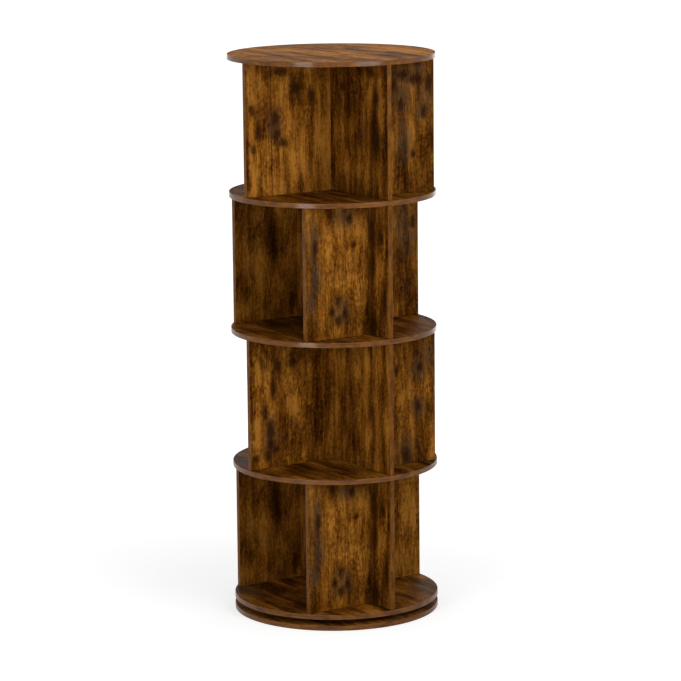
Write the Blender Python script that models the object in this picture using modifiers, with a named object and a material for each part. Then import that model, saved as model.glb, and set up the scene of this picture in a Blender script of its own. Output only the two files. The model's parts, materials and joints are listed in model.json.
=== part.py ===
"""Rotating book tower: four open tiers of round shelves that turn on a base with a ball-bearing turntable.

Metres, +Z up. The origin is the middle of the base's underside, on the floor, and Z is the turning axis.
Every tier is the same module: a divider along Y, a half panel on its -X side, and two side panels on its
+X side with the book bay between them. Each tier is turned half a turn from the one below it.
"""

import math

import bmesh
import bpy
from mathutils import Matrix

# Boards: melamine-faced chipboard with banded edges.
TIERS = 4
BOARD = 0.012
DISC_RADIUS = 0.250
EDGE_ROUND = 0.0008
TIER_CLEAR = 0.319
PANEL_INSET = 0.003
SIDE_PANEL_OFFSET = 0.157
SEAT_GAP = 0.0003

# Dowels, glued into the ends of the half panels and side panels.
DOWEL_RADIUS = 0.004
DOWEL_LENGTH = 0.030
DOWEL_FROM_END = 0.040
DOWEL_FLOOR = 0.003
DOWEL_GAP = 0.0003

# Cam fittings, which pull each divider against the discs above and below it.
CAM_RADIUS = 0.006
CAM_FLOOR = 0.0014
CAM_SUNK = 0.0003
CAM_FROM_END = 0.024
CAM_FROM_AXIS = 0.120
CAM_GAP = 0.0003

# Bolts, whose heads the cams hold.
BOLT_SHANK_RADIUS = 0.0025
BOLT_THREAD_RADIUS = 0.003
BOLT_NECK_RADIUS = 0.0016
BOLT_HEAD_RADIUS = 0.0027
BOLT_HEAD_HEIGHT = 0.003
BOLT_FLOOR = 0.003
BOLT_GAP = 0.0003

# Turntable: two aluminium rings, one inside the other, with balls in the grooves between them.
TURNTABLE_GAP = 0.015
RING_RUNNING_GAP = 0.0015
BASE_RING_INNER_RADIUS = 0.028
TOWER_RING_OUTER_RADIUS = 0.100
RACE_RADIUS = 0.062
RING_SPACING = 0.0036
BALL_RADIUS = 0.004
BALL_GAP = 0.0003
BALLS = 12
CAGE_THICKNESS = 0.0012
CAGE_HEIGHT = 0.010

# Screws that hold the turntable rings, four to each ring.
RING_SCREWS = 4
BASE_SCREW_FROM_BORE = 0.014
TOWER_SCREW_FROM_RIM = 0.016
SCREW_HEAD_RADIUS = 0.004
SCREW_HEAD_HEIGHT = 0.0024
SCREW_SHANK_RADIUS = 0.002
SCREW_TIP = 0.003
SCREW_SUNK = 0.0003
SCREW_FLOOR = 0.0025
SCREW_GAP = 0.0003
ACCESS_HOLE_RADIUS = 0.008

# How far a cutter runs past the face it cuts, and the distance at which a turned outline's points join.
OVERRUN = 0.002
JOIN = 0.00001

# Sides of the round shapes.
DISC_SIDES = 80
RING_SIDES = 48
HOLE_SIDES = 16
CAM_SIDES = 12
PIN_SIDES = 10
DOWEL_SIDES = 8
BALL_SIDES = 8
BALL_RINGS = 6

# Places and sizes that follow from the ones above.
BASE_TOP = BOARD
BOTTOM_SHELF_TOP = BASE_TOP + TURNTABLE_GAP + BOARD
TIER_PITCH = TIER_CLEAR + BOARD
RACE_HEIGHT = BASE_TOP + TURNTABLE_GAP / 2
PANEL_HEIGHT = TIER_CLEAR - 2 * SEAT_GAP
PANEL_REACH = DISC_RADIUS - PANEL_INSET
PANEL_START = BOARD / 2 + SEAT_GAP
DIVIDER_LENGTH = 2 * math.sqrt(PANEL_REACH**2 - (BOARD / 2) ** 2)
HALF_PANEL_END = math.sqrt(PANEL_REACH**2 - (BOARD / 2) ** 2)
SIDE_PANEL_END = math.sqrt(PANEL_REACH**2 - (SIDE_PANEL_OFFSET + BOARD / 2) ** 2)
DOWEL_HOLE_DEPTH = BOARD - DOWEL_FLOOR
DOWEL_REACH = SEAT_GAP + DOWEL_HOLE_DEPTH - DOWEL_GAP
CAM_POCKET_DEPTH = BOARD - CAM_FLOOR
BOLT_HOLE_DEPTH = BOARD - BOLT_FLOOR
BOLT_NECK_LENGTH = CAM_RADIUS + CAM_GAP - BOLT_HEAD_HEIGHT / 2
RING_HEIGHT = TURNTABLE_GAP - SEAT_GAP - RING_RUNNING_GAP
BASE_SCREW_RADIUS = BASE_RING_INNER_RADIUS + BASE_SCREW_FROM_BORE
TOWER_SCREW_RADIUS = TOWER_RING_OUTER_RADIUS - TOWER_SCREW_FROM_RIM
SCREW_HOLE_DEPTH = BOARD - SCREW_FLOOR
SCREW_LENGTH = RING_HEIGHT - SCREW_SUNK + SEAT_GAP + SCREW_HOLE_DEPTH - SCREW_GAP


def disc_top(level):
    """Height of a disc's upper face: 0 is the bottom shelf, and TIERS is the top disc."""
    return BOTTOM_SHELF_TOP + level * TIER_PITCH


def side_of(tier):
    """+1 where the tier's book bay faces +X, and -1 where the tier is turned half a turn."""
    return 1 if tier % 2 else -1


def new_collection(name):
    collection = bpy.data.collections.new(name)
    bpy.context.scene.collection.children.link(collection)
    return collection


def linear(code):
    """An sRGB hex colour as Blender's linear red, green, blue and alpha."""
    channels = [int(code[i : i + 2], 16) / 255 for i in (0, 2, 4)]
    return [c / 12.92 if c <= 0.04045 else ((c + 0.055) / 1.055) ** 2.4 for c in channels] + [1]


def new_material(name, colour, roughness, metallic=0):
    material = bpy.data.materials.new(name)
    material.use_nodes = True
    material.diffuse_color = linear(colour)
    shader = material.node_tree.nodes["Principled BSDF"]
    shader.inputs["Base Color"].default_value = linear(colour)
    shader.inputs["Roughness"].default_value = roughness
    shader.inputs["Metallic"].default_value = metallic
    return material


def new_axis(name, height, parent=None, turn=0):
    """An empty on the tower's axis that carries the pieces placed from it."""
    axis = bpy.data.objects.new(name, None)
    axis.location.z = height
    axis.rotation_euler.z = turn
    axis.parent = parent
    PARTS.objects.link(axis)
    return axis


def mesh_of(name, build):
    """A smooth-shaded mesh with sharp edges kept, filled by a function that takes a bmesh."""
    mesh = bpy.data.meshes.new(name)
    shape = bmesh.new()
    build(shape)
    shape.to_mesh(mesh)
    shape.free()
    if mesh.polygons:
        mesh.shade_smooth()
        mesh.set_sharp_from_angle(angle=math.radians(35))
    return mesh


def box(size):
    """A box centred on its origin."""

    def build(shape):
        bmesh.ops.create_cube(shape, size=1)
        bmesh.ops.scale(shape, vec=size, verts=shape.verts)

    return build


def rods(places, radius, length, sides, axis="Z"):
    """Equal cylinders centred on the places, along one axis, each a body of its own."""
    quarter = math.pi / 2
    turn = {"Z": Matrix(), "X": Matrix.Rotation(quarter, 4, "Y"), "Y": Matrix.Rotation(quarter, 4, "X")}

    def build(shape):
        for place in places:
            bmesh.ops.create_cone(
                shape,
                cap_ends=True,
                segments=sides,
                radius1=radius,
                radius2=radius,
                depth=length,
                matrix=Matrix.Translation(place) @ turn[axis],
            )

    return build


def add(name, mesh, material, parent, place=(0, 0, 0), turn=(0, 0, 0)):
    """A piece of the tower: a named object with its material, placed under its axis."""
    piece = bpy.data.objects.new(name, mesh)
    mesh.materials.append(material)
    piece.parent = parent
    piece.location = place
    piece.rotation_euler = turn
    PARTS.objects.link(piece)
    return piece


def helper(name, build, parent, place=(0, 0, 0), turn=(0, 0, 0)):
    """A shape that only cuts or joins a piece, so it isn't rendered."""
    tool = bpy.data.objects.new(name, mesh_of(name, build))
    tool.parent = parent
    tool.location = place
    tool.rotation_euler = turn
    tool.hide_render = True
    tool.display_type = "WIRE"
    CUTTERS.objects.link(tool)
    return tool


def combine(piece, tool, operation="DIFFERENCE"):
    modifier = piece.modifiers.new(tool.name, "BOOLEAN")
    modifier.operation = operation
    modifier.object = tool


def round_edges(piece, width):
    modifier = piece.modifiers.new("rounded edges", "BEVEL")
    modifier.width = width
    modifier.segments = 1
    modifier.limit_method = "ANGLE"
    modifier.angle_limit = math.radians(40)


def turned(profile, closed):
    """An outline of (radius, height) points that run down the outer side, for a Screw modifier."""

    def build(shape):
        points = [shape.verts.new((radius, 0, height)) for radius, height in profile]
        ends = points[1:] + points[:1] if closed else points[1:]
        for start, end in zip(points, ends):
            shape.edges.new((start, end))

    return build


def spin(piece, sides):
    """Turns an outline about Z into a closed round solid."""
    modifier = piece.modifiers.new("turned", "SCREW")
    modifier.steps = sides
    modifier.render_steps = sides
    modifier.use_merge_vertices = True
    modifier.merge_threshold = JOIN
    modifier.use_smooth_shade = False


def round_the_axis(radius, count, height, first=0):
    """Places spaced evenly on a circle about the axis."""
    angles = [first + 2 * math.pi * i / count for i in range(count)]
    return [(radius * math.cos(a), radius * math.sin(a), height) for a in angles]


def dowel_rows():
    """Each dowelled panel in a tier's own frame: its name, first and last X, and Y."""
    return [
        ("half_panel", -HALF_PANEL_END, -PANEL_START, 0),
        ("side_panel_left", PANEL_START, SIDE_PANEL_END, SIDE_PANEL_OFFSET),
        ("side_panel_right", PANEL_START, SIDE_PANEL_END, -SIDE_PANEL_OFFSET),
    ]


def dowel_places(tier, height):
    """Middles of a tier's dowel holes in a disc, at one height in the tower's frame."""
    side = side_of(tier)
    places = []
    for _, start, end, y in dowel_rows():
        places.append((side * (start + DOWEL_FROM_END), side * y, height))
        places.append((side * (end - DOWEL_FROM_END), side * y, height))
    return places


def make_disc(name, height, parent):
    """A round board centred on the given height."""
    mesh = mesh_of(name, rods([(0, 0, 0)], DISC_RADIUS, BOARD, DISC_SIDES))
    disc = add(name, mesh, BOARD_FINISH, parent, (0, 0, height))
    round_edges(disc, EDGE_ROUND)
    return disc


def make_base():
    """The base disc on the floor, with the base ring's pilot holes and a hole to reach the screws above."""
    disc = make_disc("base_disc", BOARD / 2, BASE)
    depth = SCREW_HOLE_DEPTH + OVERRUN
    height = BASE_TOP - SCREW_HOLE_DEPTH + depth / 2
    places = round_the_axis(BASE_SCREW_RADIUS, RING_SCREWS, height, math.pi / 4)
    radius = SCREW_SHANK_RADIUS + SCREW_GAP
    combine(disc, helper("base_pilot_holes", rods(places, radius, depth, PIN_SIDES), BASE))
    places = [(TOWER_SCREW_RADIUS, 0, BOARD / 2)]
    hole = rods(places, ACCESS_HOLE_RADIUS, BOARD + 2 * OVERRUN, HOLE_SIDES)
    combine(disc, helper("base_access_hole", hole, BASE))


def disc_name(level):
    return {0: "bottom_shelf", TIERS: "top_disc"}.get(level, f"shelf_{level}")


def make_tower_disc(level):
    """A disc of the tower, with dowel and bolt holes for the tiers above and below it."""
    name = disc_name(level)
    top = disc_top(level) - RACE_HEIGHT
    bottom = top - BOARD
    disc = make_disc(name, top - BOARD / 2, TOWER)
    depth = DOWEL_HOLE_DEPTH + OVERRUN
    places = []
    if level < TIERS:
        places += dowel_places(level, top - DOWEL_HOLE_DEPTH + depth / 2)
    if level > 0:
        places += dowel_places(level - 1, bottom + DOWEL_HOLE_DEPTH - depth / 2)
    radius = DOWEL_RADIUS + DOWEL_GAP
    combine(disc, helper(f"{name}_dowel_holes", rods(places, radius, depth, DOWEL_SIDES), TOWER))

    if level == 0:
        depth = BOLT_HOLE_DEPTH + OVERRUN
        height = top - BOLT_HOLE_DEPTH + depth / 2
    elif level == TIERS:
        depth = BOLT_HOLE_DEPTH + OVERRUN
        height = bottom + BOLT_HOLE_DEPTH - depth / 2
    else:
        depth = BOARD + 2 * OVERRUN
        height = (top + bottom) / 2
    places = [(0, y, height) for y in (-CAM_FROM_AXIS, CAM_FROM_AXIS)]
    radius = BOLT_THREAD_RADIUS + BOLT_GAP
    combine(disc, helper(f"{name}_bolt_holes", rods(places, radius, depth, PIN_SIDES), TOWER))

    if level == 0:
        depth = SCREW_HOLE_DEPTH + OVERRUN
        height = bottom + SCREW_HOLE_DEPTH - depth / 2
        places = round_the_axis(TOWER_SCREW_RADIUS, RING_SCREWS, height)
        radius = SCREW_SHANK_RADIUS + SCREW_GAP
        combine(disc, helper("shelf_pilot_holes", rods(places, radius, depth, PIN_SIDES), TOWER))


def make_dowelled_panel(tier, axis, part, start, end, y):
    """A half panel or side panel with its four glued dowels, in the tier's own frame."""
    name = f"tier_{tier + 1}_{part}"
    length = end - start
    middle = ((start + end) / 2, y, TIER_CLEAR / 2)
    panel = add(name, mesh_of(name, box((length, BOARD, PANEL_HEIGHT))), BOARD_FINISH, axis, middle)
    round_edges(panel, EDGE_ROUND)
    x = length / 2 - DOWEL_FROM_END
    z = PANEL_HEIGHT / 2 + DOWEL_REACH - DOWEL_LENGTH / 2
    places = [(i * x, 0, j * z) for i in (-1, 1) for j in (-1, 1)]
    dowels = rods(places, DOWEL_RADIUS, DOWEL_LENGTH, DOWEL_SIDES)
    combine(panel, helper(f"{name}_dowels", dowels, axis, middle), "UNION")


def cam_places():
    """Name and middle, along Y and Z, of each cam in a divider, seen from the tier's book bay."""
    low = SEAT_GAP + CAM_FROM_END
    high = TIER_CLEAR - low
    return [
        ("bottom_left", CAM_FROM_AXIS, low),
        ("bottom_right", -CAM_FROM_AXIS, low),
        ("top_left", CAM_FROM_AXIS, high),
        ("top_right", -CAM_FROM_AXIS, high),
    ]


def make_divider(tier, axis):
    """The full-width panel, with a pocket for each cam and a bore to each pocket for the bolt."""
    name = f"tier_{tier + 1}_divider"
    middle = (0, 0, TIER_CLEAR / 2)
    mesh = mesh_of(name, box((BOARD, DIVIDER_LENGTH, PANEL_HEIGHT)))
    divider = add(name, mesh, BOARD_FINISH, axis, middle)
    round_edges(divider, EDGE_ROUND)

    depth = CAM_POCKET_DEPTH + OVERRUN
    x = BOARD / 2 - CAM_POCKET_DEPTH + depth / 2
    places = [(x, y, z) for _, y, z in cam_places()]
    pockets = rods(places, CAM_RADIUS + CAM_GAP, depth, CAM_SIDES, "X")
    combine(divider, helper(f"{name}_cam_pockets", pockets, axis))

    length = CAM_FROM_END + OVERRUN
    low = SEAT_GAP + CAM_FROM_END - length / 2
    places = [(0, y, z) for y in (-CAM_FROM_AXIS, CAM_FROM_AXIS) for z in (low, TIER_CLEAR - low)]
    bores = rods(places, BOLT_SHANK_RADIUS + BOLT_GAP, length, PIN_SIDES)
    combine(divider, helper(f"{name}_bolt_bores", bores, axis))


def make_cam(tier, axis, part, y, z):
    """A locking cam: a cylinder along X with a side bore for the bolt's head and a slot for its neck."""
    name = f"tier_{tier + 1}_cam_{part}"
    depth = CAM_POCKET_DEPTH - SEAT_GAP - CAM_SUNK
    middle = (BOARD / 2 - CAM_SUNK - depth / 2, y, z)
    cam = add(name, mesh_of(name, rods([(0, 0, 0)], CAM_RADIUS, depth, CAM_SIDES, "X")), ZINC, axis, middle)

    to_end = 1 if part.startswith("top") else -1
    to_middle = -1 if y > 0 else 1
    radius = math.hypot(BOLT_HEAD_RADIUS, BOLT_HEAD_HEIGHT / 2) + CAM_GAP
    length = CAM_RADIUS + radius + OVERRUN
    place = (0, y + to_middle * (length / 2 - radius), z)
    bore = rods([(0, 0, 0)], radius, length, PIN_SIDES, "Y")
    combine(cam, helper(f"{name}_head_bore", bore, axis, place))

    half = BOLT_NECK_RADIUS + CAM_GAP
    reach = CAM_RADIUS + OVERRUN
    size = (2 * half, reach + half, reach)
    place = (0, y + to_middle * (reach - half) / 2, z + to_end * reach / 2)
    combine(cam, helper(f"{name}_neck_slot", box(size), axis, place))


def bolt_head(length):
    """Outline of a bolt's free end, from its head down to the shank; the head's middle is at the length."""
    top = length + BOLT_HEAD_HEIGHT / 2
    bottom = length - BOLT_HEAD_HEIGHT / 2
    return [
        (0, top),
        (BOLT_HEAD_RADIUS, top),
        (BOLT_HEAD_RADIUS, bottom),
        (BOLT_NECK_RADIUS, bottom),
        (BOLT_NECK_RADIUS, bottom - BOLT_NECK_LENGTH),
        (BOLT_SHANK_RADIUS, bottom - BOLT_NECK_LENGTH),
        (BOLT_SHANK_RADIUS, 0),
    ]


def make_bolts(level):
    """The bolts of one disc: single ones screwed into an end disc, or double-ended ones through a shelf."""
    reach = SEAT_GAP + CAM_FROM_END
    if 0 < level < TIERS:
        upper = [(r, BOARD / 2 + z) for r, z in bolt_head(reach)] + [(BOLT_THREAD_RADIUS, BOARD / 2)]
        profile = upper + [(r, -z) for r, z in reversed(upper)]
        height = disc_top(level) - BOARD / 2
        turn = 0
    else:
        end = BOLT_GAP - BOLT_HOLE_DEPTH
        profile = bolt_head(reach) + [(BOLT_THREAD_RADIUS, 0), (BOLT_THREAD_RADIUS, end), (0, end)]
        height = disc_top(level) if level == 0 else disc_top(level) - BOARD
        turn = 0 if level == 0 else math.pi
    for side, y in (("front", -CAM_FROM_AXIS), ("back", CAM_FROM_AXIS)):
        name = f"{disc_name(level)}_bolt_{side}"
        mesh = mesh_of(name, turned(profile, False))
        bolt = add(name, mesh, STEEL, TOWER, (0, y, height - RACE_HEIGHT), (turn, 0, 0))
        spin(bolt, PIN_SIDES)


def make_tier(tier):
    """One tier: divider, half panel, two side panels and the divider's cams."""
    turn = 0 if side_of(tier) > 0 else math.pi
    axis = new_axis(f"tier_{tier + 1}_axis", disc_top(tier) - RACE_HEIGHT, TOWER, turn)
    make_divider(tier, axis)
    for part, start, end, y in dowel_rows():
        make_dowelled_panel(tier, axis, part, start, end, y)
    for part, y, z in cam_places():
        make_cam(tier, axis, part, y, z)


def ring_profile(inner, outer, bottom, groove_outside):
    """Closed outline of a turntable ring with a V groove for the balls on its outer or inner side."""
    top = bottom + RING_HEIGHT
    apex = (BALL_RADIUS + BALL_GAP) * math.sqrt(2)
    mouth = apex - RING_SPACING / 2
    high = RACE_HEIGHT + mouth
    low = RACE_HEIGHT - mouth
    corners = [(outer, top), (outer, bottom), (inner, bottom), (inner, top)]
    if groove_outside:
        groove = [(outer, high), (RACE_RADIUS - apex, RACE_HEIGHT), (outer, low)]
        return corners[:1] + groove + corners[1:]
    groove = [(inner, low), (RACE_RADIUS + apex, RACE_HEIGHT), (inner, high)]
    return corners[:3] + groove + corners[3:]


def countersunk(radius_gap, length):
    """Outline of a countersunk screw's body, head up at zero, grown by a gap."""
    head = SCREW_HEAD_RADIUS + radius_gap
    shank = SCREW_SHANK_RADIUS + radius_gap
    return [(head, 0), (shank, -SCREW_HEAD_HEIGHT), (shank, -length)]


def make_ring_screws(names, parent, places, screw_turn, ring):
    """Countersunk screws through a ring, and the holes that they pass through."""
    for i, (x, y, z) in enumerate(places):
        name = f"{names}_{i + 1}"
        body = countersunk(0, SCREW_LENGTH - SCREW_TIP)
        mesh = mesh_of(name, turned([(0, 0)] + body + [(0, -SCREW_LENGTH)], False))
        screw = add(name, mesh, STEEL, parent, (x, y, z), (screw_turn, 0, 0))
        spin(screw, PIN_SIDES)

        hole = countersunk(SCREW_GAP, RING_HEIGHT + OVERRUN)
        hole = [(0, OVERRUN), (hole[0][0], OVERRUN)] + hole + [(0, -RING_HEIGHT - OVERRUN)]
        tool = helper(f"{name}_hole", turned(hole, False), parent, (x, y, z), (screw_turn, 0, 0))
        spin(tool, PIN_SIDES)
        combine(ring, tool)


def make_turntable():
    """Base ring, tower ring, their screws, and the cage whose balls roll between them."""
    inner = RACE_RADIUS - RING_SPACING / 2
    profile = ring_profile(BASE_RING_INNER_RADIUS, inner, BASE_TOP + SEAT_GAP, True)
    name = "turntable_base_ring"
    base_ring = add(name, mesh_of(name, turned(profile, True)), ALUMINIUM, BASE)
    spin(base_ring, RING_SIDES)
    head = BASE_TOP + SEAT_GAP + RING_HEIGHT - SCREW_SUNK
    places = round_the_axis(BASE_SCREW_RADIUS, RING_SCREWS, head, math.pi / 4)
    make_ring_screws("base_ring_screw", BASE, places, 0, base_ring)

    outer = RACE_RADIUS + RING_SPACING / 2
    bottom = BASE_TOP + RING_RUNNING_GAP
    profile = ring_profile(outer, TOWER_RING_OUTER_RADIUS, bottom, False)
    profile = [(radius, height - RACE_HEIGHT) for radius, height in profile]
    name = "turntable_tower_ring"
    tower_ring = add(name, mesh_of(name, turned(profile, True)), ALUMINIUM, TOWER)
    spin(tower_ring, RING_SIDES)
    places = round_the_axis(TOWER_SCREW_RADIUS, RING_SCREWS, bottom + SCREW_SUNK - RACE_HEIGHT)
    make_ring_screws("tower_ring_screw", TOWER, places, math.pi, tower_ring)

    name = "turntable_ball_cage"
    inside = RACE_RADIUS - CAGE_THICKNESS / 2
    outside = RACE_RADIUS + CAGE_THICKNESS / 2
    half = CAGE_HEIGHT / 2
    profile = [(outside, half), (outside, -half), (inside, -half), (inside, half)]
    cage = add(name, mesh_of(name, turned(profile, True)), NYLON, CAGE)
    spin(cage, RING_SIDES)

    def balls(shape):
        for place in round_the_axis(RACE_RADIUS, BALLS, 0):
            bmesh.ops.create_uvsphere(
                shape,
                u_segments=BALL_SIDES,
                v_segments=BALL_RINGS,
                radius=BALL_RADIUS,
                matrix=Matrix.Translation(place),
            )

    combine(cage, helper("turntable_balls", balls, CAGE), "UNION")


for old in list(bpy.data.objects):
    bpy.data.objects.remove(old)

PARTS = new_collection("rotating_book_tower")
CUTTERS = new_collection("cutters")

BOARD_FINISH = new_material("rustic_brown_melamine", "6B4522", 0.5)
ALUMINIUM = new_material("mill_finish_aluminium", "B9BBBD", 0.4, 1)
ZINC = new_material("die_cast_zinc", "9A9B9C", 0.45, 1)
STEEL = new_material("zinc_plated_steel", "A9ABAE", 0.35, 1)
NYLON = new_material("white_nylon", "D9D8D2", 0.5)

BASE = new_axis("base_axis", 0)
TOWER = new_axis("tower_axis", RACE_HEIGHT)
CAGE = new_axis("ball_cage_axis", RACE_HEIGHT)

make_base()
make_turntable()
for level in range(TIERS + 1):
    make_tower_disc(level)
    make_bolts(level)
for tier in range(TIERS):
    make_tier(tier)
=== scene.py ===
import json
import math

import bmesh
import bpy
from mathutils import Matrix, Vector

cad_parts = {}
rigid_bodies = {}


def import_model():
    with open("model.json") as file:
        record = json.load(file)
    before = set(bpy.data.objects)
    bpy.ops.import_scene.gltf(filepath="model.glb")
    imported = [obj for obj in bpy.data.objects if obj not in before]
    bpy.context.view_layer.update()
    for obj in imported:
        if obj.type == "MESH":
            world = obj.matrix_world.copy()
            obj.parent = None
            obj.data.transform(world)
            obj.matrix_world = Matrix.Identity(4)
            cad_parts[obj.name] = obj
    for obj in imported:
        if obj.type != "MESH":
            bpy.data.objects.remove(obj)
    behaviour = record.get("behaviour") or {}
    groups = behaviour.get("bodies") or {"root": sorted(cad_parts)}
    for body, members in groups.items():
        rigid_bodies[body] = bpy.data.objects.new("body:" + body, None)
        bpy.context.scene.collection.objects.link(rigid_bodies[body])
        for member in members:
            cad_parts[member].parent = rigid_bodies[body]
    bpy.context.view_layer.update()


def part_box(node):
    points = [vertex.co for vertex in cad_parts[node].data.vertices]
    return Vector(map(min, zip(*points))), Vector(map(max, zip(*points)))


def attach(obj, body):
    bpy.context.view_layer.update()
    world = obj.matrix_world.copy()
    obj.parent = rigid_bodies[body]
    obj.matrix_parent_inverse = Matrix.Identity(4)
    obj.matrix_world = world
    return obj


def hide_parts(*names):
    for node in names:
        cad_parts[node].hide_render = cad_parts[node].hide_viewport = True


for left_over in list(bpy.data.objects):
    bpy.data.objects.remove(left_over)

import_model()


# Studio: a white floor that runs out of sight, a white surrounding, and four soft boxes. The narrow one in
# front hangs just above the floor, so the shelves' rims show it as an upright highlight on the left. The wide
# one on the right hangs higher, and shows on the top disc alone. A low one behind and one overhead fill in.

def linear(code):
    """An sRGB hex colour as the linear red, green, blue and alpha that the nodes take."""
    channels = [int(code[i : i + 2], 16) / 255 for i in (0, 2, 4)]
    return [c / 12.92 if c <= 0.04045 else ((c + 0.055) / 1.055) ** 2.4 for c in channels] + [1]


def add_node(tree, kind, inputs=(), out=0, **settings):
    """Adds a shader node with its settings, values and links, and returns one of its outputs."""
    node = tree.nodes.new("ShaderNode" + kind)
    for name, value in settings.items():
        if name == "stops":
            while len(node.color_ramp.elements) < len(value):
                node.color_ramp.elements.new(1)
            for element, (place, code) in zip(node.color_ramp.elements, value):
                element.position = place
                element.color = linear(code)
        else:
            setattr(node, name, value)
    for name, value in dict(inputs).items():
        if isinstance(value, bpy.types.NodeSocket):
            tree.links.new(value, node.inputs[name])
        else:
            node.inputs[name].default_value = value
    return node.outputs[out] if node.outputs else node


def background_rays(tree):
    """1 for the rays that show the background as such: to the camera, and in metal, gloss and glass."""
    path = add_node(tree, "LightPath").node.outputs
    shown = path["Is Camera Ray"]
    for other in ("Is Glossy Ray", "Is Transmission Ray"):
        shown = add_node(tree, "Math", {0: shown, 1: path[other]}, operation="MAXIMUM")
    return shown


PHOTO_TURN = math.radians(32.7)
EYE = Vector((-0.0765, -7.5, 2.0445))
LOOK_RIGHT = math.radians(0.706)
LOOK_DOWN = math.radians(10.45)
LEAN = -0.00995
LENS = 165.57

turn_to_photo = Matrix.Rotation(-PHOTO_TURN, 4, "Z")
camera = bpy.data.objects.new("camera", bpy.data.cameras.new("camera"))
camera.data.lens = LENS
aim = Matrix.Rotation(-LOOK_RIGHT, 4, "Z") @ Matrix.Rotation(math.pi / 2 - LOOK_DOWN, 4, "X")
camera.matrix_world = turn_to_photo @ Matrix.Translation(EYE) @ aim @ Matrix.Rotation(LEAN, 4, "Z")
bpy.context.scene.collection.objects.link(camera)
bpy.context.scene.camera = camera

FLOOR_SIZE = 90
FLOOR_BELOW = 0.0005
FLOOR_GLOW = 0.62
FAR_GLOW = 0.95
FADE_START = 0.5
FADE_END = 3.0

floor_mesh = bpy.data.meshes.new("floor")
floor_shape = bmesh.new()
bmesh.ops.create_grid(floor_shape, x_segments=1, y_segments=1, size=FLOOR_SIZE / 2)
floor_shape.to_mesh(floor_mesh)
floor_shape.free()
floor = bpy.data.objects.new("floor", floor_mesh)
floor.location.z = -FLOOR_BELOW
bpy.context.scene.collection.objects.link(floor)

floor_paint = bpy.data.materials.new("matt_white_studio_floor")
floor_paint.use_nodes = True
tree = floor_paint.node_tree
tree.nodes.clear()
seen = background_rays(tree)
place = add_node(tree, "TexCoord", out="Object")
away = add_node(tree, "VectorMath", {0: place}, "Value", operation="LENGTH")
fade = {"From Min": FADE_START, "From Max": FADE_END, "To Min": FLOOR_GLOW, "To Max": FAR_GLOW}
level = add_node(tree, "MapRange", {"Value": away, **fade})
glow = add_node(tree, "Math", {0: seen, 1: level}, operation="MULTIPLY")
lit = add_node(tree, "BsdfDiffuse", {"Color": linear("C0C0C0")})
shining = add_node(tree, "Emission", {"Color": linear("FFFFFF"), "Strength": glow})
both = add_node(tree, "AddShader", {0: lit, 1: shining})
add_node(tree, "OutputMaterial", {"Surface": both})
floor_mesh.materials.append(floor_paint)

AMBIENT = 0.33

world = bpy.data.worlds.new("white_surrounding")
bpy.context.scene.world = world
world.use_nodes = True
tree = world.node_tree
tree.nodes.clear()
seen = background_rays(tree)
strength = add_node(tree, "MapRange", {"Value": seen, "To Min": AMBIENT, "To Max": 1})
shining = add_node(tree, "Background", {"Color": linear("FFFFFF"), "Strength": strength})
add_node(tree, "OutputWorld", {"Surface": shining})


def add_soft_box(name, bearing, distance, width, foot, head, watts):
    """An upright area lamp, at a bearing in degrees from the camera's side of the tower."""
    lamp = bpy.data.lights.new(name, "AREA")
    lamp.shape = "RECTANGLE"
    lamp.size = width
    lamp.size_y = head - foot
    lamp.energy = watts
    holder = bpy.data.objects.new(name, lamp)
    turn = Matrix.Rotation(math.radians(bearing), 4, "Z")
    stand = Matrix.Translation((0, -distance, (foot + head) / 2))
    upright = Matrix.Rotation(math.pi / 2, 4, "X")
    holder.matrix_world = turn_to_photo @ turn @ stand @ upright
    bpy.context.scene.collection.objects.link(holder)


add_soft_box("soft_box_left", bearing=-29, distance=2.6, width=0.8, foot=0.1, head=1.7, watts=28)
add_soft_box("soft_box_right", bearing=39, distance=2.4, width=1.15, foot=0.95, head=2.75, watts=37)
add_soft_box("soft_box_behind", bearing=172, distance=2.8, width=2.8, foot=0, head=1.3, watts=16)

OVERHEAD_SIZE = 1.5
OVERHEAD_HEIGHT = 3.1
OVERHEAD_WATTS = 24

overhead = bpy.data.lights.new("soft_box_overhead", "AREA")
overhead.shape = "SQUARE"
overhead.size = OVERHEAD_SIZE
overhead.energy = OVERHEAD_WATTS
holder = bpy.data.objects.new("soft_box_overhead", overhead)
holder.location = (0, 0, OVERHEAD_HEIGHT)
bpy.context.scene.collection.objects.link(holder)

bpy.context.scene.view_settings.view_transform = "Standard"


# Decor paper on the boards' two faces: a print of old oak, soaked in melamine and pressed on hot. It has
# golden and umber bands, mottling, charred knots, smoky stains and hairline cracks, under a soft satin.
# Painted shade in the same grey browns lies at both ends of the two lower shelves, under the disc above.

MM = 0.001
MELAMINE_IOR = 1.52
SPOT_EDGE = 1.55
SPOT_CORE = 0.5
SPOT_RAGGED = 4.6
TORN_SHARE = 0.35
BEND_REACH = 0.011
RING_COUNT = 15
SEAM_WIDTH = 0.002

# Where the back of a board and the plank past a joint are taken from the print.
BACK_SHIFT = 0.11
BACK_PLANK = 5.3
NEXT_PLANK = 3.7

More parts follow.
